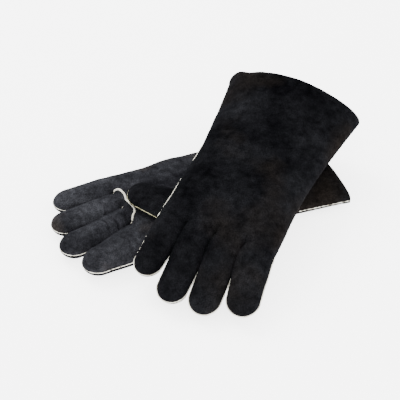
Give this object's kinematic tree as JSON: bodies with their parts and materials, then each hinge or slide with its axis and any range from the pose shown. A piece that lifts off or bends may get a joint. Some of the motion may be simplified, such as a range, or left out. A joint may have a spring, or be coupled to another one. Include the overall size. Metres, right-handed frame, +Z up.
{
  "type": "heat resistant glove",
  "caption": "Pair of black suede leather heat resistant gauntlet gloves with cream welted seams, one palm up, one back up across it.",
  "frame": {"origin": "on the table, under the middle of the lower glove's hand, on the flat it rests on", "axes": "+Z up from the table; +X towards the cuff of the lower glove's side of the pair; the upper glove's fingers point towards -Y"},
  "size_m": [0.3734, 0.3609, 0.1095],
  "materials": {
    "suede_charcoal": "napped suede",
    "welt_cream": "smooth matt",
    "lining_cotton": "brushed cotton fleece",
    "hem_thread": "twisted aramid thread"
  },
  "bodies": {
    "left_hand": {"left_back_panel": "suede_charcoal", "left_palm_panel": "suede_charcoal", "left_finger_front_base": "suede_charcoal", "left_gunn_welt": "welt_cream", "left_side_welt": "welt_cream", "left_cuff_hem": "suede_charcoal", "left_hem_thread": "hem_thread", "left_cuff_lining": "lining_cotton", "left_hand_lining": "lining_cotton", "left_thumb_gusset": "suede_charcoal"},
    "left_little_tip": {"left_little_back": "suede_charcoal", "left_little_front": "suede_charcoal", "left_little_welt": "welt_cream", "left_little_lining": "lining_cotton"},
    "left_ring_tip": {"left_ring_back": "suede_charcoal", "left_ring_front": "suede_charcoal", "left_ring_welt": "welt_cream", "left_ring_lining": "lining_cotton"},
    "left_middle_tip": {"left_middle_back": "suede_charcoal", "left_middle_front": "suede_charcoal", "left_middle_welt": "welt_cream", "left_middle_lining": "lining_cotton"},
    "left_index_tip": {"left_index_back": "suede_charcoal", "left_index_front": "suede_charcoal", "left_index_welt": "welt_cream", "left_index_lining": "lining_cotton"},
    "left_thumb": {"left_thumb_outer": "suede_charcoal", "left_thumb_inner": "suede_charcoal", "left_thumb_welt": "welt_cream", "left_thumb_lining": "lining_cotton"},
    "right_hand": {"right_back_panel": "suede_charcoal", "right_palm_panel": "suede_charcoal", "right_finger_front_base": "suede_charcoal", "right_gunn_welt": "welt_cream", "right_side_welt": "welt_cream", "right_cuff_hem": "suede_charcoal", "right_hem_thread": "hem_thread", "right_cuff_lining": "lining_cotton", "right_hand_lining": "lining_cotton", "right_thumb_gusset": "suede_charcoal"},
    "right_little_tip": {"right_little_back": "suede_charcoal", "right_little_front": "suede_charcoal", "right_little_welt": "welt_cream", "right_little_lining": "lining_cotton"},
    "right_ring_tip": {"right_ring_back": "suede_charcoal", "right_ring_front": "suede_charcoal", "right_ring_welt": "welt_cream", "right_ring_lining": "lining_cotton"},
    "right_middle_tip": {"right_middle_back": "suede_charcoal", "right_middle_front": "suede_charcoal", "right_middle_welt": "welt_cream", "right_middle_lining": "lining_cotton"},
    "right_index_tip": {"right_index_back": "suede_charcoal", "right_index_front": "suede_charcoal", "right_index_welt": "welt_cream", "right_index_lining": "lining_cotton"},
    "right_thumb": {"right_thumb_outer": "suede_charcoal", "right_thumb_inner": "suede_charcoal", "right_thumb_welt": "welt_cream", "right_thumb_lining": "lining_cotton"}
  },
  "joints": [
    {"name": "right_glove_lift", "type": "slide", "parent": "left_hand", "child": "right_hand", "axis": [0, 0, 1], "range_m": [0, 0.15]},
    {"name": "left_little_fold", "type": "hinge", "parent": "left_hand", "child": "left_little_tip", "pos_m": [-0.13805, -0.00036, 0.013], "axis": [-0.3256, 0.9455, 0], "range_deg": [0, 60]},
    {"name": "left_ring_fold", "type": "hinge", "parent": "left_hand", "child": "left_ring_tip", "pos_m": [-0.12259, -0.03396, 0.013], "axis": [-0.3987, 0.9171, 0], "range_deg": [0, 60]},
    {"name": "left_middle_fold", "type": "hinge", "parent": "left_hand", "child": "left_middle_tip", "pos_m": [-0.10666, -0.06807, 0.013], "axis": [-0.4617, 0.887, 0], "range_deg": [0, 60]},
    {"name": "left_index_fold", "type": "hinge", "parent": "left_hand", "child": "left_index_tip", "pos_m": [-0.09048, -0.10244, 0.013], "axis": [-0.5075, 0.8616, 0], "range_deg": [0, 60]},
    {"name": "left_thumb_open", "type": "hinge", "parent": "left_hand", "child": "left_thumb", "pos_m": [-0.00971, -0.05777, 0.03698], "axis": [0.3907, 0.9205, 0], "range_deg": [0, 50]},
    {"name": "right_little_fold", "type": "hinge", "parent": "right_hand", "child": "right_little_tip", "pos_m": [-0.05145, -0.11828, 0.03773], "axis": [-0.8877, 0.4569, 0.0566], "range_deg": [0, 30]},
    {"name": "right_ring_fold", "type": "hinge", "parent": "right_hand", "child": "right_ring_tip", "pos_m": [-0.018, -0.13277, 0.03391], "axis": [-0.9177, 0.3941, 0.0506], "range_deg": [0, 30]},
    {"name": "right_middle_fold", "type": "hinge", "parent": "right_hand", "child": "right_middle_tip", "pos_m": [0.01602, -0.14773, 0.03135], "axis": [-0.9402, 0.3376, 0.0451], "range_deg": [0, 30]},
    {"name": "right_index_fold", "type": "hinge", "parent": "right_hand", "child": "right_index_tip", "pos_m": [0.05219, -0.16353, 0.02933], "axis": [-0.9685, 0.2463, 0.0362], "range_deg": [0, 30]},
    {"name": "right_thumb_open", "type": "hinge", "parent": "right_hand", "child": "right_thumb", "pos_m": [0.08095, -0.07587, 0.01938], "axis": [-0.3023, 0.948, 0.0997], "range_deg": [-35, 0]}
  ],
  "couplings": [
    {"joint": "left_thumb_open", "follows": "right_glove_lift", "rad_per_m": 5.817},
    {"joint": "right_thumb_open", "follows": "right_glove_lift", "rad_per_m": -4.072}
  ]
}
